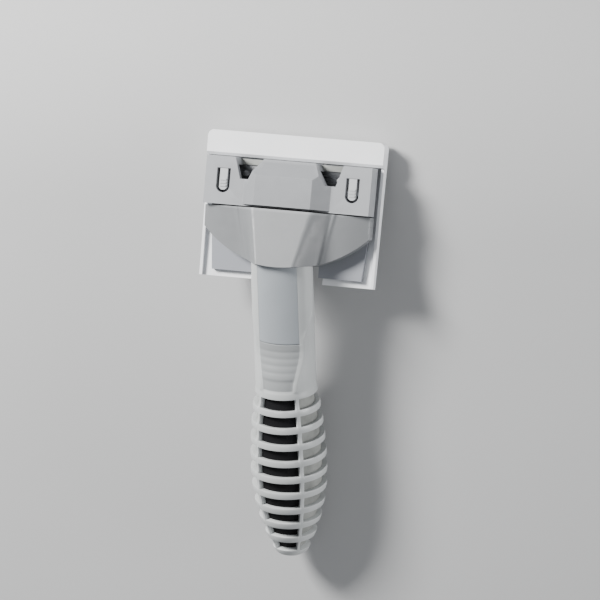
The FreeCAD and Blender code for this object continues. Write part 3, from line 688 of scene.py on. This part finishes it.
materials = {
    "shell_plastic": moulded_plastic("shell_plastic", roughness=0.36, grain=0.10),
    "panel_plastic": moulded_plastic("panel_plastic", roughness=0.5, grain=0.22),
    # Rougher grain on the neck's front, with a darker colour that is painted shade.
    "ribbed_plastic": moulded_plastic("ribbed_plastic", roughness=0.48, grain=0.2),
    "head_plastic": moulded_plastic("head_plastic", roughness=0.55, grain=0.2),
    # The cover's and the clamp's edges are lightened most: rubbed wear and painted highlights along
    # their creases.
    "cover_plastic": moulded_plastic("cover_plastic", roughness=0.42, grain=0.14, wear_and_highlight=1.35),
    "clamp_plastic": moulded_plastic("clamp_plastic", roughness=0.42, grain=0.14, wear_and_highlight=1.35),
    "latch_plastic": moulded_plastic("latch_plastic", roughness=0.38, grain=0.1),
    "core_rubber": soft_rubber("core_rubber", roughness=0.7, gloss=0.12, sheen=0.0),
    "side_rubber": soft_rubber("side_rubber", roughness=0.75, gloss=0.4, sheen=0.12),
    "blade_steel": brushed_steel("blade_steel", roughness=0.28, stretch=(0.01, 1, 1)),
    "screw_steel": brushed_steel("screw_steel", roughness=0.34, stretch=(1, 1, 1)),
    "guard_plastic": frosted_plastic("guard_plastic"),
}


# ---- the object ----------------------------------------------------------------------------------

front_shell = make_shell("handle_front_skin", 0.0, "handle_front_shell")
# Zone 1 of the front shell, darkened as painted shade.
front_shell.data.materials.append(materials["ribbed_plastic"])
make_shell("handle_rear_skin", 180.0, "handle_rear_shell", make_hole_cutter())
make_thumb_panel()
make_cover()

REPLACED = {"handle_front_shell", "handle_rear_shell", "thumb_panel", "shoulder_cover"}
for part in frame["record"]["subparts"]:
    if part["node"] in REPLACED:
        continue
    node = frame["nodes"][part["node"]]
    node.data.materials.clear()
    node.data.materials.append(materials[part["material_slot"]])
    if part["node"] in EDGE_ROUNDS:
        add_bevel(node, EDGE_ROUNDS[part["node"]], ROUND_SEGMENTS, EDGE_ROUND_OVER)


# ---- floor, light and camera, in metres ----------------------------------------------------------

# The camera's axes in the row frame.
RIGHT = Vector((0.9511, 0.0, -0.3090))
UP = Vector((-0.0852, 0.9613, -0.2621))
TOWARDS_CAMERA = Vector((0.2970, 0.2756, 0.9142))
AIM = Vector((0.0074, 0.0276, 0.0245))
CAMERA_DISTANCE, CAMERA_REACH = 4.0, 20
LENS, SENSOR_WIDTH = 492.0, 36                  # in millimetres

# Beyond the head the floor slopes away, steeper than the head, so the guard can slide off above it.
FLOOR_SLOPE, FLOOR_EDGE, FLOOR_ROW, FLOOR_GAP = 18.5, 3.0, 0.01, 0.0001
SLOPE_START, SLOPE_FULL, SLOPE_EASES, SLOPE_END = 0.06, 0.15, 0.20, 0.32

ROOM_COLOUR, ROOM_STRENGTH = (0.93, 0.96, 1.0, 1), 0.33
# Name, direction as the camera's right, up and back, distance, width, watts and colour.
SOFTBOXES = (
    ("key", (-0.85, 0.55, 0.55), 1.0, 0.3, 25, (1.0, 0.99, 0.97)),
    ("fill", (1.0, -0.1, 0.4), 1.2, 0.6, 14, (1, 1, 1)),
)


def floor_profile():
    """(y, z) of the floor from end to end: level under the tool, then a soft slope down."""
    profile = [(-FLOOR_EDGE, 0.0), (SLOPE_START, 0.0)]
    while profile[-1][0] < SLOPE_END:
        along, height = profile[-1]
        middle = along + FLOOR_ROW / 2
        share = min((middle - SLOPE_START) / (SLOPE_FULL - SLOPE_START), 1,
                    (SLOPE_END - middle) / (SLOPE_END - SLOPE_EASES))
        slope = math.radians(FLOOR_SLOPE * max(share, 0))
        profile.append((along + FLOOR_ROW, height - FLOOR_ROW * math.tan(slope)))
    return profile + [(FLOOR_EDGE, profile[-1][1])]


def make_floor():
    level = CAD_BOX[0][2] - FLOOR_GAP
    points, faces = [], []
    for along, height in floor_profile():
        points += [(-FLOOR_EDGE, along, height + level), (FLOOR_EDGE, along, height + level)]
    for first in range(0, len(points) - 2, 2):
        faces.append((first, first + 1, first + 3, first + 2))
    floor = new_object("studio_floor", points, faces)
    for polygon in floor.data.polygons:
        polygon.use_smooth = True
    floor.data.materials.append(floor_paper())


def add_softbox(name, direction, distance, width, power, colour):
    """A square light that faces the object."""
    right, up, back = direction
    towards = (RIGHT * right + UP * up + TOWARDS_CAMERA * back).normalized()
    data = bpy.data.lights.new(name, "AREA")
    data.size = width
    data.energy = power
    data.color = colour
    light = bpy.data.objects.new(name, data)
    light.location = AIM + towards * distance
    light.rotation_euler = towards.to_track_quat("Z", "Y").to_euler()
    bpy.context.scene.collection.objects.link(light)


def make_camera():
    data = bpy.data.cameras.new("studio_camera")
    data.lens = LENS
    data.sensor_width = SENSOR_WIDTH
    data.clip_end = CAMERA_REACH
    camera = bpy.data.objects.new("studio_camera", data)
    turn = Matrix((RIGHT, UP, TOWARDS_CAMERA)).transposed().to_4x4()
    camera.matrix_world = Matrix.Translation(AIM + TOWARDS_CAMERA * CAMERA_DISTANCE) @ turn
    bpy.context.scene.collection.objects.link(camera)
    bpy.context.scene.camera = camera


def light_room():
    world = bpy.data.worlds.new("studio")
    world.use_nodes = True
    backdrop = world.node_tree.nodes["Background"]
    backdrop.inputs["Color"].default_value = ROOM_COLOUR
    backdrop.inputs["Strength"].default_value = ROOM_STRENGTH
    bpy.context.scene.world = world


make_floor()
light_room()
for softbox in SOFTBOXES:
    add_softbox(*softbox)
make_camera()
